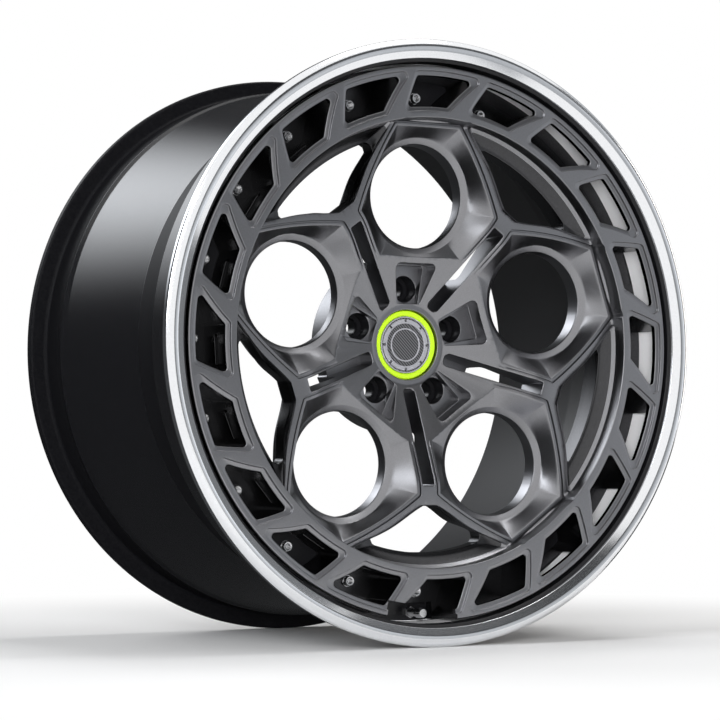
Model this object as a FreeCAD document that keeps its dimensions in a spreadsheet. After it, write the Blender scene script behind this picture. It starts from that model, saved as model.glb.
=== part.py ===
"""Three-piece alloy wheel: forged face, polished outer lip and inner barrel, bolted together.

The wheel spins about Y and its face looks along -Y. The origin is the middle of the rim.
Depths in the sheet are measured backwards from the front plane of the lip.
"""
import FreeCAD, Part
import os
import re
import Sketcher

SIZES = {
    # rim
    "seat_radius": 279.4,
    "rim_depth": 343.0,
    "rim_flange_height": 17.3,
    "rim_flange_width": 12.7,
    "rim_edge_width": 11.0,
    "lip_mouth_depth": 10.0,
    "lip_wall": 4.8,
    "joint_depth": 68.0,
    "joint_flange_width": 42.6,
    "joint_flange_thickness": 5.0,
    "barrel_wall": 5.0,
    "drop_height": 21.4,
    "drop_end_depth": 150.0,
    "back_seat_length": 38.0,
    # band of the face
    "face_fit": 0.3,
    "band_gap": 3.1,
    "band_depth": 9.0,
    "band_width": 51.0,
    "band_plate": 14.0,
    "undercut_width": 16.5,
    "flange_thickness": 10.0,
    "band_shelf_width": 13.0,
    "pocket_count": 20,
    "pocket_outer_margin": 9.7,
    "pocket_inner_margin": 11.2,
    "pocket_outer_right": 9.9,
    "pocket_outer_left": 4.3,
    "pocket_inner_right": 2.4,
    "pocket_inner_left": 8.4,
    # spokes
    "spoke_count": 5,
    "spoke_depth": 28.0,
    "spoke_flat_width": 82.5,
    "window_band_gap": 22.0,
    "window_radius": 51.5,
    "window_depth": 49.0,
    "window_lip": 3.0,
    "dish_band_gap": 2.5,
    "dish_side_angle": 64.9,
    "dish_side_reach": 65.0,
    "dish_hub_reach": 65.0,
    "slot_width": 13.0,
    "slot_inner_radius": 44.0,
    "slot_open_radius": 85.0,
    "slot_band_gap": 80.5,
    "slot_floor_depth": 92.0,
    "slot_margin": 2.5,
    "gap_width": 60.5,
    "gap_inner_half": 9.0,
    "gap_outer_angle": 21.3,
    "gap_back_depth": 52.0,
    "gap_back_margin": 6.5,
    "gap_back_angle": 25.0,
    # hub
    "hub_depth": 70.0,
    "hub_flat_radius": 46.0,
    "hub_back_depth": 110.0,
    "hub_pad_radius": 88.0,
    "hub_bore_radius": 33.25,
    "bolt_circle_radius": 56.0,
    "lug_well_radius": 13.0,
    "lug_hole_radius": 7.5,
    "lug_floor_depth": 77.0,
    "lug_seat_depth": 94.0,
    "lug_step_depth": 69.0,
    "lug_inner_radius": 41.0,
    "lug_outer_radius": 79.0,
    "lug_inner_half": 11.0,
    "lug_outer_half": 17.0,
    "lug_step_width": 5.0,
    # fasteners
    "bolt_margin": 13.1,
    "bolt_head_radius": 5.0,
    "bolt_head_height": 6.0,
    "bolt_head_sides": 6,
    # centre cap
    "cap_radius": 34.7,
    "cap_ring_width": 5.6,
    "cap_front_depth": 74.0,
    "cap_thickness": 5.0,
    "cap_clearance": 0.3,
    "cap_bore_radius": 30.0,
    "cap_bore_length": 11.0,
    "cap_emblem_thickness": 1.5,
    "cap_clip_count": 6,
    "cap_clip_width": 8.0,
    "cap_clip_wall": 2.0,
    "cap_clip_length": 10.0,
    # valve
    "valve_clearance": 0.5,
    "valve_radius": 4.0,
    "valve_fit": 0.3,
    "valve_reach": 26.0,
    "valve_foot_radius": 7.0,
    "valve_foot_height": 4.0,
    "valve_nut_half": 5.5,
    "valve_nut_height": 4.0,
    "valve_nut_sides": 6,
    "valve_cap_radius": 5.2,
    "valve_cap_length": 9.0,
    "valve_cap_top": 2.0,
    "valve_cap_sides": 12,
    "valve_notch_margin": 9.5,
    "valve_notch_right": 12.5,
    "valve_notch_left": 4.4,
}

doc = FreeCAD.newDocument("alloy_wheel")


def make_sheet():
    sheet = doc.addObject("Spreadsheet::Sheet", "Sizes")
    for row, (name, value) in enumerate(SIZES.items(), start=1):
        sheet.set(f"A{row}", name)
        sheet.set(f"B{row}", str(value))
        sheet.setAlias(f"B{row}", name)
    doc.recompute()
    return sheet


sheet = make_sheet()


def formula(text):
    """The expression with each size name pointed at its cell in the sheet."""
    return re.sub(r"[a-z_]+", lambda word: f"Sizes.{word[0]}" if word[0] in SIZES else word[0], text)


def value(text):
    return float(sheet.evalExpression(formula(text)))


def bind(item, prop, text):
    item.setExpression(prop, formula(text))


def depth(text):
    """Y of a depth behind the front plane of the lip."""
    return f"({text}) - rim_depth / 2"


def origin_part(body, role):
    return next(part for part in body.Origin.OriginFeatures if part.Role == role)


def make_body(name):
    body = doc.addObject("PartDesign::Body", name)
    body.Label = name
    return body


def add_sketch(body, name, plane, level=None):
    """A sketch on one of the body's own planes. A level is the Y of a sketch on the XZ plane."""
    sketch = body.newObject("Sketcher::SketchObject", name)
    sketch.AttachmentSupport = [(origin_part(body, plane), "")]
    sketch.MapMode = "FlatFace"
    if level:
        bind(sketch, "AttachmentOffset.Base.z", f"-({level})")
    return sketch


def pin(sketch, kind, geometry, end, text):
    """Ties one coordinate of a point to the sheet."""
    index = sketch.addConstraint(Sketcher.Constraint(kind, -1, 1, geometry, end, value(text)))
    bind(sketch, f"Constraints[{index}]", text)


def size(sketch, kind, geometry, text):
    index = sketch.addConstraint(Sketcher.Constraint(kind, geometry, value(text)))
    bind(sketch, f"Constraints[{index}]", text)


def draw_outline(sketch, corners, arcs=()):
    """A closed outline through corners, each a pair of formulas for the sketch's x and y.

    The sides listed in arcs follow a circle about the sketch's origin. Each is given by the
    number of the corner it starts from, and is short and near the sketch's y axis.
    """
    points = [FreeCAD.Vector(value(x), value(y), 0) for x, y in corners]
    count = len(points)
    sides = []
    for i, start in enumerate(points):
        end = points[(i + 1) % count]
        if i in arcs:
            middle = (start + end).normalize() * start.Length
            sides.append(Part.Arc(start, middle, end))
        else:
            sides.append(Part.LineSegment(start, end))
    sketch.addGeometry(sides)
    ends = []
    for i in range(count):
        turns_left = i in arcs and points[i].cross(points[(i + 1) % count]).z > 0
        reverse = i in arcs and not turns_left
        ends.append((2, 1) if reverse else (1, 2))
    for i in range(count):
        following = (i + 1) % count
        sketch.addConstraint(Sketcher.Constraint("Coincident", i, ends[i][1], following, ends[following][0]))
    for i, (x, y) in enumerate(corners):
        on_arc = i in arcs or (i - 1) % count in arcs
        pin(sketch, "DistanceX", i, ends[i][0], x)
        if not on_arc:
            pin(sketch, "DistanceY", i, ends[i][0], y)
    for i in arcs:
        x, y = corners[i]
        sketch.addConstraint(Sketcher.Constraint("Coincident", i, 3, -1, 1))
        size(sketch, "Radius", i, f"sqrt(({x}) ^ 2 + ({y}) ^ 2)")


def draw_circle(sketch, x, y, radius):
    centre = FreeCAD.Vector(value(x), value(y), 0)
    sketch.addGeometry(Part.Circle(centre, FreeCAD.Vector(0, 0, 1), value(radius)))
    pin(sketch, "DistanceX", 0, 3, x)
    pin(sketch, "DistanceY", 0, 3, y)
    size(sketch, "Radius", 0, radius)


def turn(body, name, stations):
    """Turns a profile of (radius, depth) stations about the wheel's own axis."""
    sketch = add_sketch(body, f"{name}_profile", "XY_Plane")
    draw_outline(sketch, [(radius, depth(level)) for radius, level in stations])
    feature = body.newObject("PartDesign::Revolution", name)
    feature.Profile = sketch
    feature.ReferenceAxis = (sketch, ["V_Axis"])
    feature.Angle = 360
    return feature


def turn_about(body, name, axis, corners, kind="PartDesign::Revolution"):
    """Turns corners given in the YZ plane about an axis through two points of that plane."""
    sketch = add_sketch(body, f"{name}_profile", "YZ_Plane")
    draw_outline(sketch, corners)
    start, end = [FreeCAD.Vector(value(y), value(z), 0) for y, z in axis]
    line = sketch.addGeometry(Part.LineSegment(start, end), True)
    for position, (y, z) in enumerate(axis, start=1):
        pin(sketch, "DistanceX", line, position, y)
        pin(sketch, "DistanceY", line, position, z)
    feature = body.newObject(kind, name)
    feature.Profile = sketch
    feature.ReferenceAxis = (sketch, ["Axis0"])
    feature.Angle = 360
    return feature


def cut(body, name, level, length, corners, arcs=()):
    """A pocket that starts at one Y and goes back by a length."""
    sketch = add_sketch(body, f"{name}_outline", "XZ_Plane", level)
    draw_outline(sketch, corners, arcs)
    pocket = body.newObject("PartDesign::Pocket", name)
    pocket.Profile = sketch
    bind(pocket, "Length", length)
    return pocket


def repeat(body, name, features, count):
    pattern = body.newObject("PartDesign::PolarPattern", name)
    pattern.Originals = features
    pattern.Axis = (origin_part(body, "Y_Axis"), [""])
    pattern.Angle = 360
    bind(pattern, "Occurrences", count)
    body.Tip = pattern
    doc.recompute()
    return pattern


def polar(radius, angle):
    """Corner at a radius and at an angle from the top, positive to the left seen from the front."""
    return f"-({radius}) * sin({angle})", f"({radius}) * cos({angle})"


RIM_RADIUS = "(seat_radius + rim_flange_height)"
LIP_BORE = "(seat_radius - lip_wall)"
DROP_RADIUS = "(seat_radius - drop_height)"
BAND_OUTER = f"({LIP_BORE} - band_gap)"
BAND_INNER = f"({BAND_OUTER} - band_width)"
FLANGE_INNER = f"({BAND_INNER} - band_shelf_width)"
POCKET_INNER = f"({BAND_INNER} + pocket_inner_margin)"
BOLT_RING = f"({POCKET_INNER} + bolt_margin)"
VALVE_RING = f"({DROP_RADIUS} + valve_foot_radius + valve_clearance)"
WINDOW_CIRCLE = f"({BAND_INNER} - window_band_gap - window_radius)"
SPOKE_BEND = f"({BAND_INNER} - spoke_flat_width)"
VALVE_TIP = "(joint_depth - valve_reach)"
BAND_BACK = "(band_depth + band_plate)"
FLOOR = "(joint_depth - flange_thickness)"
JOINT_BACK = "(joint_depth + joint_flange_thickness)"
CAP_SEAT = "(cap_front_depth + cap_thickness)"


def make_face():
    body = make_body("wheel_face")
    turn(body, "forging", [
        ("cap_radius + cap_clearance", "hub_depth"),
        ("hub_flat_radius", "hub_depth"),
        (SPOKE_BEND, "spoke_depth"),
        (BAND_INNER, "spoke_depth"),
        (BAND_INNER, "band_depth"),
        (BAND_OUTER, "band_depth"),
        (BAND_OUTER, BAND_BACK),
        (f"{BAND_OUTER} - undercut_width", BAND_BACK),
        (f"{BAND_OUTER} - undercut_width", FLOOR),
        (f"{LIP_BORE} - face_fit", FLOOR),
        (f"{LIP_BORE} - face_fit", "joint_depth"),
        ("hub_pad_radius", "joint_depth"),
        ("hub_pad_radius", "hub_back_depth"),
        ("hub_bore_radius", "hub_back_depth"),
        ("hub_bore_radius", f"{CAP_SEAT} + cap_bore_length"),
        ("cap_bore_radius", f"{CAP_SEAT} + cap_bore_length"),
        ("cap_bore_radius", CAP_SEAT),
        ("cap_radius + cap_clearance", CAP_SEAT),
    ])
    cut_windows(body)
    cut_gaps(body)
    cut_slots(body)
    cut_lugs(body)
    cut_pockets(body)
    cut_valve_notch(body)
    return body


def meeting_point(first, second):
    """Where two sides of the dish meet. A side is its direction from the top and its distance."""
    (turn_a, far_a), (turn_b, far_b) = first, second
    across = f"sin(({turn_b}) - ({turn_a}))"
    x = f"(({far_a}) * cos({turn_b}) - ({far_b}) * cos({turn_a})) / {across}"
    z = f"(({far_a}) * sin({turn_b}) - ({far_b}) * sin({turn_a})) / {across}"
    return x, f"{WINDOW_CIRCLE} + {z}"


def dish_corners(band_side, gap_side, slot_side, hub_side):
    """Six-sided outline round a window, from the distances of its sides to the window's centre."""
    slot_turn = "(90 + 180 / spoke_count)"
    sides = [
        ("0", band_side),
        ("dish_side_angle", gap_side),
        (slot_turn, slot_side),
        ("180", hub_side),
        (f"-{slot_turn}", slot_side),
        ("-dish_side_angle", gap_side),
    ]
    return [meeting_point(sides[i - 1], side) for i, side in enumerate(sides)]


def cut_windows(body):
    """Five round windows, each at the bottom of a faceted dish with a six-sided border."""
    border = add_sketch(body, "dish_border", "XZ_Plane", depth("spoke_depth"))
    draw_outline(border, dish_corners(
        "window_band_gap + window_radius - dish_band_gap",
        "dish_side_reach",
        f"{WINDOW_CIRCLE} * sin(180 / spoke_count) - slot_width / 2 - slot_margin",
        "dish_hub_reach",
    ))
    rim = add_sketch(body, "dish_rim", "XZ_Plane", depth("window_depth"))
    draw_outline(rim, dish_corners(*["window_radius + window_lip"] * 4))
    dish = body.newObject("PartDesign::SubtractiveLoft", "dish")
    dish.Profile = border
    dish.Sections = [rim]
    dish.Ruled = True
    window = add_sketch(body, "window_outline", "XZ_Plane", depth("spoke_depth"))
    draw_circle(window, "0", WINDOW_CIRCLE, "window_radius")
    hole = body.newObject("PartDesign::Pocket", "window")
    hole.Profile = window
    bind(hole, "Length", "hub_back_depth - spoke_depth")
    repeat(body, "windows", [dish, hole], "spoke_count")


def cut_gaps(body):
    """Windows between two spokes and the band, wider at the back where the spokes are thinned."""
    inner = f"{BAND_INNER} - gap_width"
    gap = cut(body, "gap", depth("band_depth"), "hub_back_depth - band_depth", [
        ("gap_inner_half", inner),
        polar(FLANGE_INNER, "-gap_outer_angle"),
        polar(FLANGE_INNER, "gap_outer_angle"),
        ("-gap_inner_half", inner),
    ], [1])
    back_outer = f"{FLANGE_INNER} + gap_back_margin"
    back = cut(body, "gap_back", depth("gap_back_depth"), "hub_back_depth - gap_back_depth", [
        ("gap_inner_half + gap_back_margin", f"{inner} - gap_back_margin"),
        polar(back_outer, "-gap_back_angle"),
        polar(back_outer, "gap_back_angle"),
        ("-gap_inner_half - gap_back_margin", f"{inner} - gap_back_margin"),
    ], [1])
    turn_half_pitch(gap, back)
    repeat(body, "gaps", [gap, back], "spoke_count")


def turn_half_pitch(*features):
    """Turns the features' sketches by half a spoke about the wheel's axis."""
    for feature in features:
        sketch = feature.Profile[0]
        bind(sketch, "AttachmentOffset.Rotation.Angle", "180 / spoke_count")


def cut_slots(body):
    """Slots between neighbouring spokes, floored beside the hub and open further out."""
    half = "slot_width / 2"
    outer = f"{BAND_INNER} - slot_band_gap"
    blind = cut(body, "slot_floor", depth("spoke_depth"), "slot_floor_depth - spoke_depth", [
        (f"-{half}", "slot_inner_radius"),
        (half, "slot_inner_radius"),
        (half, outer),
        (f"-{half}", outer),
    ])
    through = cut(body, "slot_open", depth("spoke_depth"), "hub_back_depth - spoke_depth", [
        (f"-{half}", "slot_open_radius"),
        (half, "slot_open_radius"),
        (half, outer),
        (f"-{half}", outer),
    ])
    turn_half_pitch(blind, through)
    repeat(body, "slots", [blind, through], "spoke_count")


def cut_lugs(body):
    """Keystone wells with a step in their walls, and the seats of the wheel bolts."""
    step = cut(body, "lug_step", depth("spoke_depth"), "lug_step_depth - spoke_depth",
               keystone("lug_step_width"))
    well = cut(body, "lug_well", depth("spoke_depth"), "lug_floor_depth - spoke_depth", keystone("0"))
    axis = [(depth("spoke_depth"), "bolt_circle_radius"), (depth("hub_back_depth"), "bolt_circle_radius")]
    seat = turn_about(body, "lug_seat", axis, [
        (depth("spoke_depth"), "bolt_circle_radius"),
        (depth("spoke_depth"), "bolt_circle_radius + lug_well_radius"),
        (depth("lug_seat_depth"), "bolt_circle_radius + lug_well_radius"),
        (depth("lug_seat_depth"), "bolt_circle_radius + lug_hole_radius"),
        (depth("hub_back_depth"), "bolt_circle_radius + lug_hole_radius"),
        (depth("hub_back_depth"), "bolt_circle_radius"),
    ], "PartDesign::Groove")
    repeat(body, "lugs", [step, well, seat], "spoke_count")


def keystone(extra):
    return [
        (f"-lug_inner_half - ({extra}) / 2", "lug_inner_radius"),
        (f"lug_inner_half + ({extra}) / 2", "lug_inner_radius"),
        (f"lug_outer_half + {extra}", "lug_outer_radius"),
        (f"-lug_outer_half - ({extra})", "lug_outer_radius"),
    ]


def cut_pockets(body):
    """Slanted pockets of the band, open down to the flange where the bolts sit."""
    outer = f"{BAND_OUTER} - pocket_outer_margin"
    pocket = cut(body, "pocket", depth("band_depth"), f"{FLOOR} - band_depth", [
        polar(outer, "-pocket_outer_right"),
        polar(outer, "pocket_outer_left"),
        polar(POCKET_INNER, "pocket_inner_left"),
        polar(POCKET_INNER, "-pocket_inner_right"),
    ], [0, 2])
    repeat(body, "pockets", [pocket], "pocket_count")


def cut_valve_notch(body):
    """Opens the lowest pocket towards the lip, so that a hand reaches the valve."""
    inner = f"{VALVE_RING} - valve_notch_margin"
    start = "180 - valve_notch_right"
    end = "180 + valve_notch_left"
    cut(body, "valve_notch", depth("band_depth"), "joint_depth - band_depth", [
        polar(inner, start),
        polar("seat_radius", start),
        polar("seat_radius", end),
        polar(inner, end),
    ], [1, 3])


def make_lip():
    """Polished front half of the rim, with the flange that carries the face."""
    body = make_body("outer_lip")
    turn(body, "spinning", [
        (LIP_BORE, "lip_mouth_depth"),
        (f"{RIM_RADIUS} - rim_edge_width", "0"),
        (RIM_RADIUS, "0"),
        (RIM_RADIUS, "rim_flange_width"),
        ("seat_radius", "rim_flange_width"),
        ("seat_radius", JOINT_BACK),
        (f"{LIP_BORE} - joint_flange_width", JOINT_BACK),
        (f"{LIP_BORE} - joint_flange_width", "joint_depth"),
        (LIP_BORE, "joint_depth"),
    ])
    sketch = add_sketch(body, "valve_hole_outline", "XZ_Plane", depth("joint_depth"))
    draw_circle(sketch, "0", f"-{VALVE_RING}", "valve_radius + valve_fit")
    hole = body.newObject("PartDesign::Pocket", "valve_hole")
    hole.Profile = sketch
    bind(hole, "Length", "joint_flange_thickness")
    return body


def make_barrel():
    """Back half of the rim: drop centre, long taper, bead seat and flange."""
    body = make_body("inner_barrel")
    flange_front = "rim_depth - rim_flange_width"
    turn(body, "spinning", [
        (f"{DROP_RADIUS} - barrel_wall", JOINT_BACK),
        (DROP_RADIUS, JOINT_BACK),
        (DROP_RADIUS, "drop_end_depth"),
        ("seat_radius", f"{flange_front} - back_seat_length"),
        ("seat_radius", flange_front),
        (RIM_RADIUS, flange_front),
        (RIM_RADIUS, "rim_depth"),
        (f"{RIM_RADIUS} - rim_edge_width", "rim_depth"),
        ("seat_radius - barrel_wall", flange_front),
        (f"{DROP_RADIUS} - barrel_wall", "drop_end_depth"),
    ])
    return body


def polygon(sides, radius, height):
    """Corners of a regular outline on the sketch's y axis, from the radius of its corners."""
    corners = []
    for i in range(int(value(sides))):
        turned = f"({i} + 0.5) * 360 / {sides}"
        corners.append((f"({radius}) * cos({turned})", f"({height}) + ({radius}) * sin({turned})"))
    return corners


def make_bolts():
    """Heads of the assembly bolts, seated on the floors of the pockets."""
    body = make_body("assembly_bolts")
    sketch = add_sketch(body, "head_outline", "XZ_Plane", depth(FLOOR))
    draw_outline(sketch, polygon("bolt_head_sides", "bolt_head_radius", BOLT_RING))
    head = body.newObject("PartDesign::Pad", "head")
    head.Profile = sketch
    bind(head, "Length", "bolt_head_height")
    repeat(body, "heads", [head], "pocket_count")
    return body


def make_cap():
    """Moulded cap with a coloured rim, held by clips in the bore."""
    body = make_body("cap_body")
    turn(body, "moulding", [
        ("0", "cap_front_depth"),
        ("cap_radius", "cap_front_depth"),
        ("cap_radius", CAP_SEAT),
        ("0", CAP_SEAT),
    ])
    sketch = add_sketch(body, "clip_outline", "XZ_Plane", depth(CAP_SEAT))
    outer = "cap_bore_radius - cap_clip_wall"
    half = "cap_clip_width / 2"
    draw_outline(sketch, [
        (f"-{half}", f"{outer} - cap_clip_wall"),
        (half, f"{outer} - cap_clip_wall"),
        (half, outer),
        (f"-{half}", outer),
    ])
    clip = body.newObject("PartDesign::Pad", "clip")
    clip.Profile = sketch
    clip.Reversed = True
    bind(clip, "Length", "cap_clip_length")
    repeat(body, "clips", [clip], "cap_clip_count")
    return body


def make_emblem():
    """Plain disc on the front of the cap, inside its coloured rim."""
    body = make_body("cap_emblem")
    turn(body, "disc", [
        ("0", "cap_front_depth - cap_emblem_thickness"),
        ("cap_radius - cap_ring_width", "cap_front_depth - cap_emblem_thickness"),
        ("cap_radius - cap_ring_width", "cap_front_depth"),
        ("0", "cap_front_depth"),
    ])
    return body


def make_valve_stem():
    """Stem with a foot that seals against the tyre side of the lip."""
    body = make_body("valve_stem")
    axis = [(depth("0"), f"-{VALVE_RING}"), (depth("rim_depth"), f"-{VALVE_RING}")]
    foot_back = f"{JOINT_BACK} + valve_foot_height"
    stations = [
        ("0", VALVE_TIP),
        ("valve_radius", VALVE_TIP),
        ("valve_radius", JOINT_BACK),
        ("valve_foot_radius", JOINT_BACK),
        ("valve_foot_radius", foot_back),
        ("0", foot_back),
    ]
    turn_about(body, "turning", axis, [
        (depth(level), f"-{VALVE_RING} + {radius}") for radius, level in stations
    ])
    return body


def pad_with_bore(name, outline, level, height, bore_height):
    """A block that grows forwards from a depth, with a bore for the valve stem in its back."""
    body = make_body(name)
    sketch = add_sketch(body, "outline", "XZ_Plane", depth(level))
    draw_outline(sketch, outline)
    block = body.newObject("PartDesign::Pad", "block")
    block.Profile = sketch
    bind(block, "Length", height)
    bore = add_sketch(body, "bore_outline", "XZ_Plane", depth(f"{level} - ({bore_height})"))
    draw_circle(bore, "0", f"-{VALVE_RING}", "valve_radius + valve_fit")
    hole = body.newObject("PartDesign::Pocket", "bore")
    hole.Profile = bore
    bind(hole, "Length", bore_height)
    return body


def make_valve_nut():
    """Hexagon nut that clamps the valve against the lip."""
    outline = polygon("valve_nut_sides", "valve_nut_half / cos(180 / valve_nut_sides)", f"-{VALVE_RING}")
    return pad_with_bore("valve_nut", outline, "joint_depth", "valve_nut_height", "valve_nut_height")


def make_valve_cap():
    """Fluted dust cap over the tip of the stem."""
    outline = polygon("valve_cap_sides", "valve_cap_radius", f"-{VALVE_RING}")
    level = f"{VALVE_TIP} + valve_cap_length"
    return pad_with_bore("valve_cap", outline, level, "valve_cap_length + valve_cap_top", "valve_cap_length")


def main():
    make_face()
    make_lip()
    make_barrel()
    make_bolts()
    make_cap()
    make_emblem()
    make_valve_stem()
    make_valve_nut()
    make_valve_cap()
    doc.recompute()
    write_parts()


def write_parts():
    for item in doc.Objects:
        if "Invalid" in item.State or "Error" in item.State:
            raise RuntimeError(f"{item.Name} failed: {item.State}")
    bodies = [item for item in doc.Objects if item.TypeId == "PartDesign::Body"]
    for body in bodies:
        if body.Shape.isNull() or not body.Shape.isValid():
            raise RuntimeError(f"{body.Label} has no valid shape")
    os.makedirs("parts", exist_ok=True)
    for body in bodies:
        body.Shape.exportStep(f"parts/{body.Label}.step")
        print(f"{body.Label}: {len(body.Shape.Solids)} solids, {body.Shape.Volume / 1000:.1f} cm3")


main()
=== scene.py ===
import math

import bmesh
import bpy
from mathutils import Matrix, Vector


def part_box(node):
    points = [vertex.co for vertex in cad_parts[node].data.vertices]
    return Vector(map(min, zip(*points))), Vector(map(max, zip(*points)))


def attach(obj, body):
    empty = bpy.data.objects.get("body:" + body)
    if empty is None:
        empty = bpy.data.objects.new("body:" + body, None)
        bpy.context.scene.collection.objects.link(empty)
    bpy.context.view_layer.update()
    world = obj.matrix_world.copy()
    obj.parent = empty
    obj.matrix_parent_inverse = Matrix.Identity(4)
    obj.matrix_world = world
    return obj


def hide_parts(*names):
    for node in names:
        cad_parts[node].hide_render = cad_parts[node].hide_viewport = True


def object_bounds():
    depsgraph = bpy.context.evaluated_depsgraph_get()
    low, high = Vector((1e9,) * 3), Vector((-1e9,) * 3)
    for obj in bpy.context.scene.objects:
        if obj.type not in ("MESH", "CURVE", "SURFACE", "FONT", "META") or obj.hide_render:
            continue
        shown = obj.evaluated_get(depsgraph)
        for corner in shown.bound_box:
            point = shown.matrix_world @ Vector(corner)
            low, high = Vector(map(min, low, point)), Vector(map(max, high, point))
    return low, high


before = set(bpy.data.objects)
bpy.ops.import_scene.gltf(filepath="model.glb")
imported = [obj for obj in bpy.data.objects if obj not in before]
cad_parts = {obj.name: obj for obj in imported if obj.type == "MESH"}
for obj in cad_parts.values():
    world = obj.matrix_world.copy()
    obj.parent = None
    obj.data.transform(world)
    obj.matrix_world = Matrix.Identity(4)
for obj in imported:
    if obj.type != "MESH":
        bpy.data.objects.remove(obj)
cadLow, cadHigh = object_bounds()

mm = 0.001
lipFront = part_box("outer_lip")[0].y  # every depth below is measured back from this plane, in mm
turns = 320  # segments of a full turn, a multiple of the 5 spokes and the 20 pockets


# points and outlines

def place(x, depth, z):
    return Vector((x * mm, lipFront + depth * mm, z * mm))


def fromTop(radius, degrees):  # a point by its angle from the top, positive to the left
    a = math.radians(degrees)
    return -radius * math.sin(a), radius * math.cos(a)


def middleOf(points):
    return sum((Vector(p) for p in points), Vector((0, 0))) / len(points)


def fillet(corner, before, after, rounding, steps):  # points of the arc that rounds a corner
    p = Vector(corner)
    u, v = (Vector(before) - p).normalized(), (Vector(after) - p).normalized()
    half = u.angle(v) / 2
    reach = rounding / math.tan(half)
    centre = p + (u + v).normalized() * (rounding / math.sin(half))
    first, last = p + u * reach - centre, p + v * reach - centre
    return [centre + first.lerp(last, k / steps).normalized() * rounding for k in range(steps + 1)]


def roundOff(corners, radii, perCorner=5, perSide=1, bows=None):
    # closed outline with rounded corners; every side has perSide inner points and may bow outwards
    count = len(corners)
    bows = bows or [0] * count
    arcs = []
    for i, corner in enumerate(corners):
        arcs.append(fillet(corner, corners[i - 1], corners[(i + 1) % count], radii[i], perCorner))
    middle = middleOf(corners)
    points = []
    for i in range(count):
        points += arcs[i]
        start, stop = arcs[i][-1], arcs[(i + 1) % count][0]
        out = Vector((stop.y - start.y, start.x - stop.x)).normalized()
        if out.dot(start - middle) < 0:
            out = -out
        for k in range(1, perSide + 1):
            t = k / (perSide + 1)
            points.append(start.lerp(stop, t) + out * bows[i] * 4 * t * (1 - t))
    return [(p.x, p.y) for p in points]


def trapezium(nearHalf, near, farHalf, far, roundings, perCorner, perSide):  # by half widths at two radii
    a, b = roundings
    corners = [(-nearHalf, near), (nearHalf, near), (farHalf, far), (-farHalf, far)]
    return roundOff(corners, [a, a, b, b], perCorner=perCorner, perSide=perSide)


def grow(points, distance):  # moves an outline outwards along its own normals
    middle = middleOf(points)
    moved = []
    for i, point in enumerate(points):
        along = Vector(points[(i + 1) % len(points)]) - Vector(points[i - 1])
        out = Vector((along.y, -along.x)).normalized()
        if out.dot(Vector(point) - middle) < 0:
            out = -out
        moved.append((point[0] + out.x * distance, point[1] + out.y * distance))
    return moved


def circleLike(points, centre, radius):  # a circle with one point for each point of an outline
    ring = []
    for x, z in points:
        d = Vector((x - centre[0], z - centre[1])).normalized() * radius
        ring.append((centre[0] + d.x, centre[1] + d.y))
    return ring


# meshes

def newPiece(name, verts, faces):
    mesh = bpy.data.meshes.new(name)
    mesh.from_pydata(verts, [], faces)
    piece = bpy.data.objects.new(name, mesh)
    bpy.context.scene.collection.objects.link(piece)
    fixNormals(piece)
    return piece


def fixNormals(piece):
    bm = bmesh.new()
    bm.from_mesh(piece.data)
    bmesh.ops.recalc_face_normals(bm, faces=bm.faces)
    bm.to_mesh(piece.data)
    bm.free()


def addStack(verts, faces, loops):  # closed solid through loops of (x, depth, z) with equal counts
    base, count = len(verts), len(loops[0])
    for loop in loops:
        verts += [place(*p) for p in loop]
    for i in range(len(loops) - 1):
        for k in range(count):
            n = (k + 1) % count
            a, b = base + i * count, base + (i + 1) * count
            faces.append((a + k, a + n, b + n, b + k))
    faces.append(tuple(range(base, base + count)))
    last = base + (len(loops) - 1) * count
    faces.append(tuple(range(last, last + count)))


def solid(name, loops):
    verts, faces = [], []
    addStack(verts, faces, loops)
    return newPiece(name, verts, faces)


def flat(points, depth):
    return [(x, depth, z) for x, z in points]


def draped(points, drop, bottom=1000.0, fade=None):  # follows the face's front at a set depth below it
    loop = []
    for x, z in points:
        radius = math.hypot(x, z)
        share = 1.0
        if fade:
            share = min(max((radius - fade[0]) / (fade[1] - fade[0]), 0), 1)
        loop.append((x, min(frontDepth(radius) + drop * share, bottom), z))
    return loop


def lathe(name, profile, segments=turns):  # closed profile of (radius, depth) points
    count = len(profile)
    verts, faces = [], []
    for k in range(segments):
        a = 2 * math.pi * k / segments
        verts += [place(r * math.cos(a), d, r * math.sin(a)) for r, d in profile]
    for k in range(segments):
        n = (k + 1) % segments
        for i in range(count):
            j = (i + 1) % count
            faces.append((k * count + i, k * count + j, n * count + j, n * count + i))
    return newPiece(name, verts, faces)


def roundProfile(stations, perCorner=4):  # stations of (radius, depth, rounding)
    points = []
    for i, (radius, depth, rounding) in enumerate(stations):
        if rounding <= 0:
            points.append((radius, depth))
            continue
        before, after = stations[i - 1][:2], stations[(i + 1) % len(stations)][:2]
        arc = fillet((radius, depth), before, after, rounding, perCorner)
        points += [(q.x, q.y) for q in arc]
    return points


def carve(piece, cutter):
    step = piece.modifiers.new("carve", "BOOLEAN")
    step.operation = "DIFFERENCE"
    step.solver = "EXACT"
    step.object = cutter
    bpy.context.view_layer.update()
    shape = piece.evaluated_get(bpy.context.evaluated_depsgraph_get())
    mesh = bpy.data.meshes.new_from_object(shape)
    piece.modifiers.remove(step)
    old = piece.data
    piece.data = mesh
    mesh.name = piece.name
    bpy.data.meshes.remove(old)
    tool = cutter.data
    bpy.data.objects.remove(cutter)
    bpy.data.meshes.remove(tool)


def shade(piece, degrees):
    for polygon in piece.data.polygons:
        polygon.use_smooth = True
    piece.data.set_sharp_from_angle(angle=math.radians(degrees))
    normals = piece.modifiers.new("normals", "WEIGHTED_NORMAL")
    normals.keep_sharp = True


def dress(piece, coats, slotName, *replaced):
    piece.data.materials.clear()
    for finish in coats:
        piece.data.materials.append(finish)
    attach(piece, "root")
    if replaced:
        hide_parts(*replaced)


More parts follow.
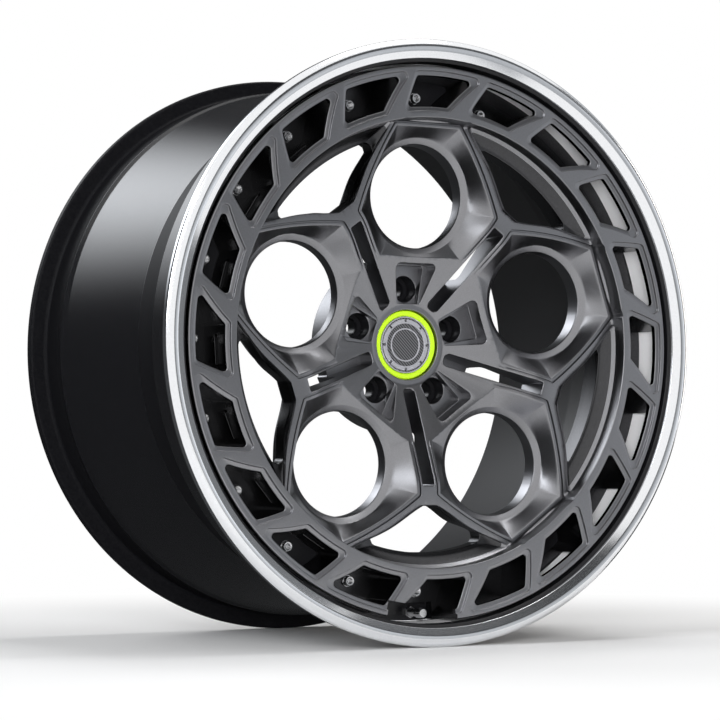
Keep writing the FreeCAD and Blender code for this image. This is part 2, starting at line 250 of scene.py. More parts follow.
def spot(polygon):  # radius and depth of a face's middle, in mm
    c = polygon.center
    return math.hypot(c.x, c.z) / mm, (c.y - lipFront) / mm


# finishes

finishes = {  # two tones of a fine mottle, the range of its roughness, its scale and its bump
    "satin gunmetal": {"tones": ((0.265, 0.265, 0.275), (0.295, 0.295, 0.31)), "metallic": 1.0,
                       "roughness": (0.27, 0.34), "scale": 900, "bump": 0.05},
    # gunmetal darkened to paint the shade that falls on the gap walls and pocket walls
    "gunmetal darkened as painted shade": {"tones": ((0.06, 0.06, 0.062), (0.08, 0.08, 0.084)), "metallic": 1.0,
                               "roughness": (0.2, 0.3), "scale": 700, "bump": 0.03},
    # black that paints the shade in pocket floors, bolt wells, the band's outer edge and the lip's gap ring
    "black painted shade": {"tones": ((0.005, 0.005, 0.006), (0.008, 0.008, 0.009)), "metallic": 0.0,
                     "roughness": (0.25, 0.36), "scale": 700, "bump": 0.03,
                     "sockets": {"Specular IOR Level": 0.25}},
    "sprayed gunmetal back": {"tones": ((0.28, 0.28, 0.29), (0.32, 0.32, 0.33)), "metallic": 0.45,
                              "roughness": (0.38, 0.48), "scale": 700, "bump": 0.05},
    "polished lip": {"tones": ((0.86, 0.87, 0.89), (0.9, 0.91, 0.93)), "metallic": 1.0,
                     "roughness": (0.1, 0.15), "scale": 500, "bump": 0.01},
    "satin lip bore": {"tones": ((0.92, 0.92, 0.94), (0.95, 0.95, 0.97)), "metallic": 0.0,
                       "roughness": (0.3, 0.42), "scale": 600, "bump": 0.03},
    "gloss barrel black": {"tones": ((0.003, 0.003, 0.004), (0.006, 0.006, 0.007)), "metallic": 0.0,
                           "roughness": (0.21, 0.28), "scale": 350, "bump": 0.02},
    "satin barrel black": {"tones": ((0.009, 0.009, 0.01), (0.016, 0.016, 0.017)), "metallic": 0.0,
                           "roughness": (0.34, 0.44), "scale": 450, "bump": 0.04},
    "matt barrel black": {"tones": ((0.004, 0.004, 0.005), (0.008, 0.008, 0.009)), "metallic": 0.0,
                          "roughness": (0.38, 0.46), "scale": 450, "bump": 0.04,
                          "sockets": {"Specular IOR Level": 0.06}},
    "plated steel": {"tones": ((0.66, 0.66, 0.67), (0.74, 0.74, 0.75)), "metallic": 1.0,
                     "roughness": (0.16, 0.26), "scale": 1500, "bump": 0.03},
    "yellow-green lacquer": {"tones": ((0.43, 0.7, 0.005), (0.47, 0.74, 0.007)), "metallic": 0.0,
                             "roughness": (0.22, 0.3), "scale": 1200, "bump": 0.02,
                             "sockets": {"Coat Weight": 0.5, "Coat Roughness": 0.06}},
    "brushed silver": {"tones": ((0.39, 0.39, 0.42), (0.45, 0.45, 0.48)), "metallic": 0.5,
                       "roughness": (0.18, 0.28), "scale": 1800, "bump": 0.04},
}
grain = {"detail": 4, "stops": (0.3, 0.7), "depth": 0.0004}


def newFinish(name, colour, metallic, roughness):
    finish = bpy.data.materials.new(name)
    finish.use_nodes = True
    nodes, links = finish.node_tree.nodes, finish.node_tree.links
    shader = nodes["Principled BSDF"]
    shader.inputs["Base Color"].default_value = (*colour, 1)
    shader.inputs["Metallic"].default_value = metallic
    shader.inputs["Roughness"].default_value = roughness
    return finish, nodes, links, shader


def addBump(nodes, links, shader, height, strength, distance):
    bump = nodes.new("ShaderNodeBump")
    bump.inputs["Strength"].default_value = strength
    bump.inputs["Distance"].default_value = distance
    links.new(height, bump.inputs["Height"])
    links.new(bump.outputs["Normal"], shader.inputs["Normal"])


def coat(name):  # one fine noise drives the colour, the roughness and a slight bump
    look = finishes[name]
    dark, light = look["tones"]
    smooth, rough = look["roughness"]
    finish, nodes, links, shader = newFinish(name, dark, look["metallic"], smooth)
    for socket, setting in look.get("sockets", {}).items():
        shader.inputs[socket].default_value = setting
    where = nodes.new("ShaderNodeTexCoord")
    noise = nodes.new("ShaderNodeTexNoise")
    noise.inputs["Scale"].default_value = look["scale"]
    noise.inputs["Detail"].default_value = grain["detail"]
    links.new(where.outputs["Object"], noise.inputs["Vector"])
    spread = nodes.new("ShaderNodeMapRange")
    spread.inputs["To Min"].default_value = smooth
    spread.inputs["To Max"].default_value = rough
    links.new(noise.outputs["Fac"], spread.inputs["Value"])
    links.new(spread.outputs["Result"], shader.inputs["Roughness"])
    ramp = nodes.new("ShaderNodeValToRGB")
    for stop, position, tone in zip(ramp.color_ramp.elements, grain["stops"], (dark, light)):
        stop.position = position
        stop.color = (*tone, 1)
    links.new(noise.outputs["Fac"], ramp.inputs["Fac"])
    links.new(ramp.outputs["Color"], shader.inputs["Base Color"])
    addBump(nodes, links, shader, noise.outputs["Fac"], look["bump"], grain["depth"])
    return finish


hatch = {"scale": 190, "dark": (0.025, 0.025, 0.027), "light": (0.2, 0.2, 0.21), "metallic": 0.6,
         "roughness": 0.3, "bump": 0.2, "depth": 0.0003}


def hatchedCoat():  # dark, with a fine diagonal hatch
    h = hatch
    finish, nodes, links, shader = newFinish("hatched disc", h["dark"], h["metallic"], h["roughness"])
    where = nodes.new("ShaderNodeTexCoord")
    stripes = nodes.new("ShaderNodeTexWave")
    stripes.wave_type = "BANDS"
    stripes.bands_direction = "DIAGONAL"
    stripes.inputs["Scale"].default_value = h["scale"]
    links.new(where.outputs["Object"], stripes.inputs["Vector"])
    ramp = nodes.new("ShaderNodeValToRGB")
    ramp.color_ramp.elements[0].color = (*h["dark"], 1)
    ramp.color_ramp.elements[1].color = (*h["light"], 1)
    links.new(stripes.outputs["Fac"], ramp.inputs["Fac"])
    links.new(ramp.outputs["Color"], shader.inputs["Base Color"])
    addBump(nodes, links, shader, stripes.outputs["Fac"], h["bump"], h["depth"])
    return finish


# forged face: a turned blank with the dishes, gaps, slots, bolt wells and pockets milled out of it

face = {
    "hubDepth": 70.0, "hubFlat": 40.0, "bend": 138.0, "spokeDepth": 28.0, "back": 68.0,
    "bendReach": 8.4, "bandInner": 220.5, "bandOuter": 271.5, "bandDepth": 9.0, "plate": 9.0,
    "flangeOuter": 274.3, "floor": 58.0, "step": 268.0, "pad": 88.0, "padDepth": 110.0,
    "bore": 33.25, "capBore": 30.0, "capRecess": 35.0, "capSeat": 79.0, "boreFront": 90.0,
}
spokes = 5
pitch = 360 / spokes
cutEnd = face["padDepth"] + 5.0  # cutters that go right through the face end here


def frontDepth(radius):
    slope = (face["hubDepth"] - face["spokeDepth"]) / (face["bend"] - face["hubFlat"])
    reach = face["bendReach"]
    if abs(radius - face["bend"]) < reach:  # the rounded bend between the cone and the flat ring
        return face["spokeDepth"] + slope * (face["bend"] + reach - radius) ** 2 / (4 * reach)
    rise = min(max(face["bend"] - radius, 0) * slope, face["hubDepth"] - face["spokeDepth"])
    return face["spokeDepth"] + rise


def turnBlank():
    f = face
    return lathe("forged_face", roundProfile([
        (f["capRecess"], f["capSeat"], 0.5), (f["capRecess"], f["hubDepth"], 1.2),
        (f["hubFlat"], f["hubDepth"], 8), (f["bend"], f["spokeDepth"], 42),
        (f["bandInner"], f["spokeDepth"], 2.5), (f["bandInner"], f["bandDepth"], 1.2),
        (f["bandOuter"], f["bandDepth"], 2.0), (f["bandOuter"], f["floor"], 0.0),
        (f["flangeOuter"], f["floor"], 0.6), (f["flangeOuter"], f["back"], 0.6),
        (f["pad"], f["back"], 5.0), (f["pad"], f["padDepth"], 1.5),
        (f["bore"], f["padDepth"], 1.0), (f["bore"], f["boreFront"], 0),
        (f["capBore"], f["boreFront"], 0), (f["capBore"], f["capSeat"], 0),
    ]))


window = {
    "centre": 147.0, "radius": 51.5, "rimRadius": 58.0, "rimDepth": 46.5, "edgeDepth": 50.5, "hubDrop": 5.5,
    "bandSide": 71.0, "gapSide": 65.0, "gapTurn": 64.9, "slotSide": 77.4, "hubSide": 66.0,
    "rounding": 5.0, "bow": 3.0, "fade": (95.0, 110.0), "hubLift": 0.3, "rimBevel": (0.7, 0.25),
    "edgeBevel": (0.9, 1.2), "wallRows": 8, "cutFrom": 5.0,
    "groove": [(0.5, -0.3), (0.0, 0.4), (-0.25, 2.4), (-1.3, 2.4), (-1.6, 0.9), (-2.0, 0.6), (-4.0, 0.7),
               (-4.7, 1.3)],  # how far out from the dish's border, and how far below the front
}


def dishOutline():
    w = window
    sides = [(0, w["bandSide"]), (w["gapTurn"], w["gapSide"]), (90 + pitch / 2, w["slotSide"]),
             (180, w["hubSide"]), (-90 - pitch / 2, w["slotSide"]), (-w["gapTurn"], w["gapSide"])]
    corners = []
    for i, (turnB, farB) in enumerate(sides):
        turnA, farA = sides[i - 1]
        a, b = math.radians(turnA), math.radians(turnB)
        across = math.sin(b - a)
        x = (farA * math.cos(b) - farB * math.cos(a)) / across
        z = (farA * math.sin(b) - farB * math.sin(a)) / across
        corners.append((x, w["centre"] + z))
    bows = [0, w["bow"], 0, 0, 0, w["bow"]]
    return roundOff(corners, [w["rounding"]] * 6, perCorner=6, perSide=13, bows=bows)


def dropToHub(points, depth):  # the window's rim lies deeper towards the hub
    w = window
    loop = []
    for x, z in points:
        towards = (w["centre"] - z) / math.hypot(x, z - w["centre"])
        loop.append((x, depth + w["hubDrop"] * (1 + towards) / 2, z))
    return loop


def dishCutter():
    w = window
    rimIn, rimDown = w["rimBevel"]
    edgeOut, edgeDown = w["edgeBevel"]
    border = dishOutline()

    def ring(radius):
        return circleLike(border, (0, w["centre"]), radius)

    levels = [draped(grow(border, out), drop, fade=w["fade"]) for out, drop in w["groove"]]
    upper = [(x, d - w["hubLift"] * (math.hypot(x, z) < w["fade"][0]), z) for x, d, z in levels[-1]]
    lower = dropToHub(ring(w["rimRadius"]), w["rimDepth"])
    rows = []
    for k in range(1, w["wallRows"] + 1):
        t = k / w["wallRows"]
        rows.append([tuple(p + (q - p) * t for p, q in zip(a, b)) for a, b in zip(upper, lower)])
    return [
        flat(grow(border, w["groove"][0][0]), w["cutFrom"]),
        *levels,
        *rows,
        dropToHub(ring(w["rimRadius"] - rimIn), w["rimDepth"] + rimDown),
        dropToHub(ring(w["radius"] + edgeOut), w["edgeDepth"]),
        dropToHub(ring(w["radius"]), w["edgeDepth"] + edgeDown),
        flat(ring(w["radius"]), cutEnd),
    ]


gap = {
    "innerRadius": 160.0, "innerHalf": 9.0, "angle": 24.3, "ledge": 35.0, "ledgeRadius": 206.0, "rounding": 7.0,
    "cove": 13.0, "coveRise": 10.0, "coveHollow": 1.3, "coveRounding": 6.0, "coveRows": 5, "wallRounding": 1.6,
    "bow": -3.0, "bevel": 0.7, "edge": 0.8, "overcut": 0.25, "cutAbove": 8.0, "backDepth": 52.0, "backStep": 1.0,
    "backMargin": 6.5, "backShift": 0.4, "sideSteps": 25, "filletSteps": 6, "bandSteps": 13,
    "wallSlack": 1.2,
}


def gapOutline(radius, rounding, margin=0.0):
    g = gap
    far = Vector(fromTop(face["bandInner"], -g["angle"]))
    near = Vector((g["innerHalf"], g["innerRadius"]))
    along = (far - near).normalized()
    inwards = Vector((-along.y, along.x))
    near -= inwards * margin + along * margin * g["backShift"]
    offset = near + inwards * rounding  # the fillet's centre lies on this line
    ahead = offset.dot(along)
    reach = -ahead + math.sqrt(ahead ** 2 - offset.length_squared + (radius - rounding) ** 2)
    centre = offset + along * reach
    touch, leave = near + along * reach, centre * radius / (radius - rounding)
    half = [near.lerp(Vector((0, near.y)), 0.5), near]
    for k in range(1, g["sideSteps"]):
        t = k / g["sideSteps"]
        half.append(near.lerp(touch, t) - inwards * g["bow"] * math.sin(math.pi * t) ** 2)
    for k in range(g["filletSteps"] + 1):
        spoke = (touch - centre).lerp(leave - centre, k / g["filletSteps"])
        half.append(centre + spoke.normalized() * rounding)
    wide = math.atan2(leave.x, leave.y)
    for k in range(1, g["bandSteps"]):
        a = wide * (1 - k / g["bandSteps"])
        half.append(Vector((radius * math.sin(a), radius * math.cos(a))))
    right = [(p.x, p.y) for p in half]
    return right + [(0, radius)] + [(-x, z) for x, z in reversed(right)]


def gapCutter():
    g = gap
    keep = face["bandInner"] + g["overcut"]
    wall = gapOutline(keep, g["wallRounding"])
    through = gapOutline(g["ledgeRadius"], g["rounding"])
    back = gapOutline(g["ledgeRadius"] + g["backMargin"], g["rounding"], g["backMargin"])
    top = face["spokeDepth"]
    sides = [[keepInside(p, keep) for p in grow(wall, d)] for d in (2 * g["bevel"], 0)]
    loops = [flat(sides[0], top - g["cutAbove"]), flat(sides[0], top - g["bevel"]),
             flat(sides[1], top + g["bevel"])]
    for k in range(g["coveRows"] + 1):  # a slightly hollow slope between the band's wall and the opening
        t = k / g["coveRows"]
        rounding = g["wallRounding"] + (g["coveRounding"] - g["wallRounding"]) * t
        points = gapOutline(keep - g["cove"] * t, rounding)
        loops.append(flat(points, g["ledge"] - g["coveRise"] * (1 - t) ** g["coveHollow"]))
    return loops + [
        flat(grow(through, g["edge"]), g["ledge"]), flat(through, g["ledge"] + g["edge"]),
        flat(through, g["backDepth"]), flat(back, g["backDepth"] + g["backStep"]), flat(back, face["padDepth"])]


def keepInside(point, radius):
    x, z = point
    far = math.hypot(x, z)
    return (x, z) if far <= radius else (x * radius / far, z * radius / far)


slot = {"width": 13.0, "inner": 44.0, "open": 85.0, "outer": 140.0, "floor": 92.0, "bevel": 0.9,
        "roundings": (4.5, 1.2), "inset": 0.3, "passageRoundings": (2.0, 1.0), "cutAbove": 9.0, "overlap": 3.0}


def slotCutters():  # a blind slot, and the passage through its outer part
    s = slot
    half = s["width"] / 2
    outline = trapezium(half, s["inner"], half, s["outer"], s["roundings"], 6, 12)
    tight = half - s["inset"]
    passage = trapezium(tight, s["open"], tight, s["outer"] - s["inset"], s["passageRoundings"], 4, 1)
    wide = grow(outline, 2 * s["bevel"])
    blind = [draped(wide, -s["cutAbove"]), draped(wide, -s["bevel"]), draped(outline, s["bevel"]),
             flat(outline, s["floor"])]
    return blind, [flat(passage, s["floor"] - s["overlap"]), flat(passage, cutEnd)]


lug = {
    "circle": 56.0, "inner": 40.5, "outer": 80.0, "innerHalf": 13.0, "outerHalf": 24.0, "roundings": (2.5, 5.0),
    "deepInner": 41.1, "deepOuter": 79.0, "deepInnerHalf": 11.0, "deepOuterHalf": 17.5,
    "deepRoundings": (2.0, 2.5), "step": 69.5, "edge": 0.6, "floor": 77.0, "well": 13.0, "seat": 94.0,
    "seatWidth": 1.5, "seatEdge": 0.1, "seatDepth": 3.0, "hole": 7.5, "bevel": 0.8, "cutAbove": 9.0,
}


def lugCutter():
    g = lug
    outer = trapezium(g["innerHalf"], g["inner"], g["outerHalf"], g["outer"], g["roundings"], 6, 9)
    inner = trapezium(g["deepInnerHalf"], g["deepInner"], g["deepOuterHalf"], g["deepOuter"],
                      g["deepRoundings"], 6, 9)
    wide = grow(outer, 2 * g["bevel"])
    radii = (g["well"] + g["bevel"], g["well"], g["hole"] + g["seatWidth"], g["hole"])
    mouth, well, seat, hole = [circleLike(inner, (0, g["circle"]), radius) for radius in radii]
    return [
        draped(wide, -g["cutAbove"]), draped(wide, -g["bevel"]),
        draped(outer, g["bevel"], bottom=g["step"] - g["edge"] / 2), flat(outer, g["step"]),
        flat(grow(inner, g["edge"]), g["step"]), flat(inner, g["step"] + g["edge"]), flat(inner, g["floor"]),
        flat(mouth, g["floor"]), flat(well, g["floor"] + g["bevel"]), flat(well, g["seat"]),
        flat(seat, g["seat"] + g["seatEdge"]), flat(hole, g["seat"] + g["seatDepth"]), flat(hole, cutEnd)]


pocket = {
    "count": 20, "outer": 266.4, "inner": 227.0, "outerRight": 11.76, "outerLeft": 5.48, "innerRight": 3.36,
    "innerLeft": 10.04, "rounding": 4.7, "ledge": 4.5, "sink": 3.2, "bevel": 0.6, "cutAbove": 6.0,
    "foot": [(0.3, 0.5), (0.8, 0.0)], "openRounding": 3.2, "openBevel": 1.0, "floorGap": 0.1,
    "cavity": 277.0, "cavityStep": 0.4, "cavityRoundings": (0.6, 3.0), "cavityGap": 0.3,
    # radius and depth from which the pockets get painted shade
    "shadeFrom": 224.0, "shadeDepth": 14.0,
}


def bandCorners():  # drawn unrolled along the band's middle
    p = pocket
    unroll = math.radians(1) * (p["outer"] + p["inner"]) / 2
    return [(p["outerRight"] * unroll, p["outer"]), (-p["outerLeft"] * unroll, p["outer"]),
            (-p["innerLeft"] * unroll, p["inner"]), (p["innerRight"] * unroll, p["inner"])], unroll


def bandOutline(inset, rounding):
    corners, unroll = bandCorners()
    return roundOff(shrink(corners, inset), [rounding] * 4, perCorner=5, perSide=9), unroll


def shrink(corners, distance):  # moves straight sides inwards
    count = len(corners)
    middle = middleOf(corners)
    lines = []
    for i in range(count):
        a, b = Vector(corners[i]), Vector(corners[(i + 1) % count])
        normal = Vector((b.y - a.y, a.x - b.x)).normalized()
        if normal.dot(middle - a) < 0:
            normal = -normal
        lines.append((normal, normal.dot(a) + distance))
    moved = []
    for i in range(count):
        (n, c), (m, d) = lines[i - 1], lines[i]
        across = n.x * m.y - n.y * m.x
        moved.append(((c * m.y - d * n.y) / across, (n.x * d - m.x * c) / across))
    return moved


def wrap(points, unroll):
    return [fromTop(r, -u / unroll) for u, r in points]


def pocketCutter():
    p = pocket
    top, ledge = face["bandDepth"], face["bandDepth"] + p["sink"]
    border, unroll = bandOutline(0, p["rounding"])
    opening, _ = bandOutline(p["ledge"], p["openRounding"])
    mouth = grow(border, 2 * p["bevel"])
    loops = [(mouth, top - p["cutAbove"]), (mouth, top - p["bevel"]), (border, top + p["bevel"])]
    loops += [(grow(border, -inwards), ledge - up) for inwards, up in p["foot"]]
    loops += [(grow(opening, p["openBevel"]), ledge), (opening, ledge + p["openBevel"]),
              (opening, face["floor"] - p["floorGap"])]
    return [flat(wrap(points, unroll), depth) for points, depth in loops]


def cavityCutter():  # behind the band's plate each pocket is open out to the lip
    p = pocket
    corners, unroll = bandCorners()
    corners = shrink(corners, p["ledge"] - p["cavityStep"])
    outer = [(u + (u - v) * (p["cavity"] - r) / (r - s), p["cavity"])
             for (u, r), (v, s) in ((corners[0], corners[3]), (corners[1], corners[2]))]
    a, b = p["cavityRoundings"]
    points = wrap(roundOff([*outer, *corners[2:]], [a, a, b, b], perCorner=5, perSide=9), unroll)
    return [flat(points, face["bandDepth"] + face["plate"]), flat(points, face["floor"] - p["cavityGap"])]


relief = {"half": 15.0, "low": 29.5, "high": 36.5, "sunk": 2.4, "shift": 2.9, "bevel": 0.9, "reach": 6.0,
          "edge": 0.1, "arcSteps": 8}


def reliefCutter():  # milled slot in the inner wall of a pocket
    r = relief
    wallRadius = pocket["inner"] + pocket["ledge"]
    middle, half = (r["low"] + r["high"]) / 2, (r["high"] - r["low"]) / 2
    loops = []
    for out, wide in ((r["reach"], r["bevel"]), (r["edge"], r["bevel"]), (-r["bevel"], 0), (-r["sunk"], 0)):
        radius = wallRadius + out
        loop = []
        for centre, start in ((r["half"] - half, -90), (-r["half"] + half, 90)):
            for k in range(r["arcSteps"] + 1):
                a = math.radians(start + 180 * k / r["arcSteps"])
                along, depth = centre + (half + wide) * math.cos(a), middle + (half + wide) * math.sin(a)
                x, z = fromTop(radius, r["shift"] - math.degrees(along / radius))
                loop.append((x, depth, z))
        loops.append(loop)
    return loops


valveNotch = {"inner": 256.0, "outer": 281.0, "right": 12.5, "left": 4.4, "steps": 12, "overrun": 2.0}


def notchCutter():
    v = valveNotch
    sweep = v["right"] + v["left"]
    angles = [180 - v["right"] + sweep * k / v["steps"] for k in range(v["steps"] + 1)]
    points = [fromTop(v["inner"], a) for a in angles] + [fromTop(v["outer"], a) for a in reversed(angles)]
    return [flat(points, 0), flat(points, face["back"] + v["overrun"])]


def cutterRing(name, loops, count, offset=0.0):  # copies of one cutter round the axis
    verts, faces = [], []
    for k in range(count):
        turn = math.radians(offset + 360 * k / count)
        c, s = math.cos(turn), math.sin(turn)
        turned = [[(x * c - z * s, d, x * s + z * c) for x, d, z in loop] for loop in loops]
        addStack(verts, faces, turned)
    return newPiece(name, verts, faces)


def nearestCopy(x, z, offset):  # how far the nearest of five copies is turned, in radians
    degrees = math.degrees(math.atan2(z, x)) - 90 - offset
    return math.radians(round(degrees / pitch) * pitch + offset)


def inGap(x, z):  # inside the outline of a spoke gap, or on its walls
    g = gap
    turn = nearestCopy(x, z, pitch / 2)
    across, up = x * math.cos(turn) + z * math.sin(turn), z * math.cos(turn) - x * math.sin(turn)
    far = fromTop(face["bandInner"], -g["angle"])
    slope = (far[1] - g["innerRadius"]) / (far[0] - g["innerHalf"])
    return up > g["innerRadius"] - g["wallSlack"] + max(abs(across) - g["innerHalf"], 0) * slope


def inWell(x, z, depth):  # on the wall or floor of a bolt well, where the black painted shade goes
    turn = nearestCopy(x, z, 0)
    far = math.hypot(x + lug["circle"] * math.sin(turn), z - lug["circle"] * math.cos(turn))
    return depth > lug["floor"] + paint["wellDown"] and far < lug["well"] + paint["wellOut"]


mend = {"weld": 0.00002, "thin": 0.00001}


def mendMesh(piece):  # joins doubled points and fills the cracks that the cuts leave
    bm = bmesh.new()
    bm.from_mesh(piece.data)
    bmesh.ops.remove_doubles(bm, verts=bm.verts, dist=mend["weld"])
    bmesh.ops.dissolve_degenerate(bm, edges=bm.edges, dist=mend["thin"])
    cracks = [edge for edge in bm.edges if edge.is_boundary]
    bmesh.ops.holes_fill(bm, edges=cracks, sides=0)
    bm.to_mesh(piece.data)
    bm.free()


paint = {  # limits of the face's four coats, of which the wall coat and the black coat are painted shade: distances in mm, and turns as the y of a normal
    "backTurn": 0.5, "backDown": 1.0, "wallUp": 0.2, "floorSlack": 0.2, "floorTurn": -0.9, "pocketDown": 0.05,
    "edgeIn": 0.3, "edgeDown": 8.0, "wellDown": 0.4, "wellOut": 0.3,
}


def faceCoat(polygon):  # which of the face's coats a polygon gets; the wall coat and the black coat are painted shade in its recesses
    f, p = face, paint
    # wall and black are painted shade: darkened gunmetal and black
    gunmetal, wall, black, back = range(4)
    radius, depth = spot(polygon)
    x, z = polygon.center.x / mm, polygon.center.z / mm
    floor = abs(depth - f["floor"]) < p["floorSlack"] and polygon.normal.y < p["floorTurn"]
    edge = radius > f["bandOuter"] - p["edgeIn"] and depth > f["bandDepth"] + p["edgeDown"]
    if polygon.normal.y > p["backTurn"] and depth > f["floor"] + p["backDown"]:
        return back
    # gap walls: darkened gunmetal as painted shade
    if inGap(x, z) and depth > f["spokeDepth"] + gap["bevel"] - p["wallUp"]:
        return wall
    # pockets: darkened gunmetal on the walls, black on the floors and the band's outer edge, both painted shade
    if radius > pocket["shadeFrom"] and pocket["shadeDepth"] < depth < f["floor"] + p["pocketDown"]:
        return black if floor and radius < f["step"] or edge else wall
    # bolt wells: black painted shade
    return black if inWell(x, z, depth) else gunmetal


def makeFace():
    piece = turnBlank()
    blind, passage = slotCutters()
    between, many = pitch / 2, pocket["count"]
    cuts = [
        ("dishes", dishCutter(), spokes, 0), ("gaps", gapCutter(), spokes, between),
        ("slots", blind, spokes, between), ("passages", passage, spokes, between),
        ("lugs", lugCutter(), spokes, 0), ("pockets", pocketCutter(), many, 0),
        ("cavities", cavityCutter(), many, 0), ("reliefs", reliefCutter(), many, 0),
        ("notch", notchCutter(), 1, 0),
    ]
    for name, loops, count, offset in cuts:
        carve(piece, cutterRing(name, loops, count, offset))
    mendMesh(piece)
    coats = [coat("satin gunmetal"), coat("gunmetal darkened as painted shade"), coat("black painted shade"),
             coat("sprayed gunmetal back")]
    dress(piece, coats, "face_metal", "wheel_face")
    for polygon in piece.data.polygons:
        polygon.material_index = faceCoat(polygon)
    shade(piece, 50)
    print("forged face:", len(piece.data.polygons), "faces")


# polished lip and black barrel, both turned

lip = {
    "bore": 274.6, "boreFront": 9.0, "shoulder": 277.6, "shoulderDepth": 6.6, "crease": 278.2, "creaseDepth": 4.8,
    "noseInner": 286.5, "noseOuter": 291.5, "radius": 296.7, "edgeDepth": 5.0, "flange": 12.7,
    "flangeInner": 285.0, "seat": 279.4, "seatReach": 5.0, "joint": 68.0, "jointBack": 73.0, "jointInner": 232.0,
    "satinFrom": 24.0,
}


def makeLip():
    p = lip
    profile = roundProfile([
        (p["bore"], p["joint"], 1.0), (p["bore"], p["satinFrom"], 0.0), (p["bore"], p["boreFront"], 2.0),
        (p["shoulder"], p["shoulderDepth"], 0.6), (p["crease"], p["creaseDepth"], 0.8),
        (p["noseInner"], 0.0, 9.0), (p["noseOuter"], 0.0, 7.0), (p["radius"], p["edgeDepth"], 5.0),
        (p["radius"], p["flange"], 2.5), (p["flangeInner"], p["flange"], 2.0),
        (p["seat"], p["flange"] + p["seatReach"], 5.0), (p["seat"], p["jointBack"], 2.5),
        (p["jointInner"], p["jointBack"], 0.8), (p["jointInner"], p["joint"], 0.8),
    ], perCorner=6)
    piece = lathe("polished_lip", profile)
    coats = [coat("polished lip"), coat("gloss barrel black"), coat("satin lip bore"), coat("black painted shade")]
    dress(piece, coats, "lip_metal", "outer_lip")
    for polygon in piece.data.polygons:
        radius, depth = spot(polygon)
        tyreSide = depth > p["flange"] - 0.3 and radius > p["bore"] + 1 or depth > p["joint"] - 0.1
        boreSide = radius < p["bore"] + 0.5 and p["satinFrom"] < depth < p["joint"] - 0.1
        # the chamfer and bore front in the gap next to the band get black painted shade
        gapRingShade = radius < p["crease"] - 0.5 and depth < p["satinFrom"]
        polygon.material_index = 1 if tyreSide else 3 if gapRingShade else 2 if boreSide else 0
    shade(piece, 35)
    print("lip done")


barrel = {
    "wall": 5.0, "drop": 258.0, "dropEnd": 150.0, "seat": 279.4, "seatStart": 292.3, "seatFall": 2.0, "hump": 0.8,
    "humpReach": 6.0, "flangeFront": 330.3, "depth": 343.0, "radius": 296.7, "edge": 11.0, "jointBack": 73.0,
    "mattMargin": 6.0,
}


def makeBarrel():
    b = barrel
    inner = b["drop"] - b["wall"]
    profile = roundProfile([
        (inner, b["jointBack"], 0.5), (b["drop"], b["jointBack"], 0.5), (b["drop"], b["dropEnd"], 6.0),
        (b["seat"] - b["seatFall"], b["seatStart"] - b["humpReach"], 8.0),
        (b["seat"] + b["hump"], b["seatStart"], 3.0), (b["seat"], b["seatStart"] + b["humpReach"], 4.0),
        (b["seat"], b["flangeFront"], 4.0), (b["radius"], b["flangeFront"], 2.5),
        (b["radius"], b["depth"], 4.0), (b["radius"] - b["edge"], b["depth"], 4.0),
        (b["seat"] - b["wall"], b["flangeFront"], 10.0), (inner, b["dropEnd"], 40.0),
    ], perCorner=6)
    piece = lathe("black_barrel", profile)
    coats = [coat("gloss barrel black"), coat("satin barrel black"), coat("matt barrel black")]
    dress(piece, coats, "barrel_paint", "inner_barrel")
    for polygon in piece.data.polygons:
        _, depth = spot(polygon)
        inside = polygon.normal.x * polygon.center.x + polygon.normal.z * polygon.center.z < 0
        matt = depth < b["dropEnd"] - b["mattMargin"] or depth > b["seatStart"]
        polygon.material_index = 1 if inside else 2 if matt else 0
    shade(piece, 35)
    print("barrel done")


# assembly bolts with hexagon sockets

bolt = {
    "ring": 244.8, "radius": 5.0, "height": 6.0, "bevel": 0.7, "socket": 2.6, "socketMouth": 1.22,
    "socketEdge": 0.3, "socketDepth": 3.4, "washer": 5.8, "washerHeight": 1.0, "washerBevel": 0.2, "around": 24,
}


def makeBolts():
    b = bolt
    floor = face["floor"] - pocket["floorGap"]
    top, edge = b["height"], b["washerBevel"]
    sections = [
        (b["washer"], 0.0), (b["washer"], b["washerHeight"] - edge), (b["washer"] - edge, b["washerHeight"]),
        (b["radius"], b["washerHeight"]), (b["radius"], top - b["bevel"]), (b["radius"] - b["bevel"], top),
        (b["socket"] * b["socketMouth"], top),
    ]
    angles = [2 * math.pi * i / b["around"] for i in range(b["around"])]
    verts, faces = [], []
    for k in range(pocket["count"]):
        turn = math.radians(360 * k / pocket["count"])
        cx, cz = -b["ring"] * math.sin(turn), b["ring"] * math.cos(turn)
        hexagon = [b["socket"] / math.cos((a + turn + k) % (math.pi / 3) - math.pi / 6) for a in angles]
        rings = [([radius] * b["around"], up) for radius, up in sections]
        rings += [(hexagon, top - b["socketEdge"]), (hexagon, top - b["socketDepth"])]
        loops = []
        for radii, up in rings:
            loops.append([(cx + r * math.cos(a), floor - up, cz + r * math.sin(a)) for r, a in zip(radii, angles)])
        addStack(verts, faces, loops)
    piece = newPiece("band_bolts", verts, faces)
    dress(piece, [coat("plated steel")], "bolt_steel", "assembly_bolts")
    shade(piece, 40)
    print("bolts done")


# centre cap: coloured rim, notched bezel, hatched disc and a plain ring

cap = {
    "radius": 34.7, "ringInner": 28.6, "front": 73.2, "seat": 79.0, "discFront": 74.6, "discGap": 0.05,
    "lineOuter": 28.4, "lineInner": 27.0, "lineFront": 73.0, "bezelOuter": 25.8, "bezelInner": 21.2,
    "bezelFront": 73.2, "notches": 8, "notchWidth": 2.6, "notchIn": 0.6, "trimOuter": 16.9, "trimInner": 15.3,
    "trimFront": 73.8, "around": 160, "discAround": 96, "middle": 0.01,
}


def capRing(name, inner, outer, front, back, edge):  # turned ring with bevelled front edges
    return lathe(name, roundProfile([
        (inner, back, 0.1), (inner, front + edge, 0.15), (inner + edge, front, 0.15),
        (outer - edge, front, 0.15), (outer, front + edge, 0.15), (outer, back, 0.1),
    ]), segments=cap["around"])


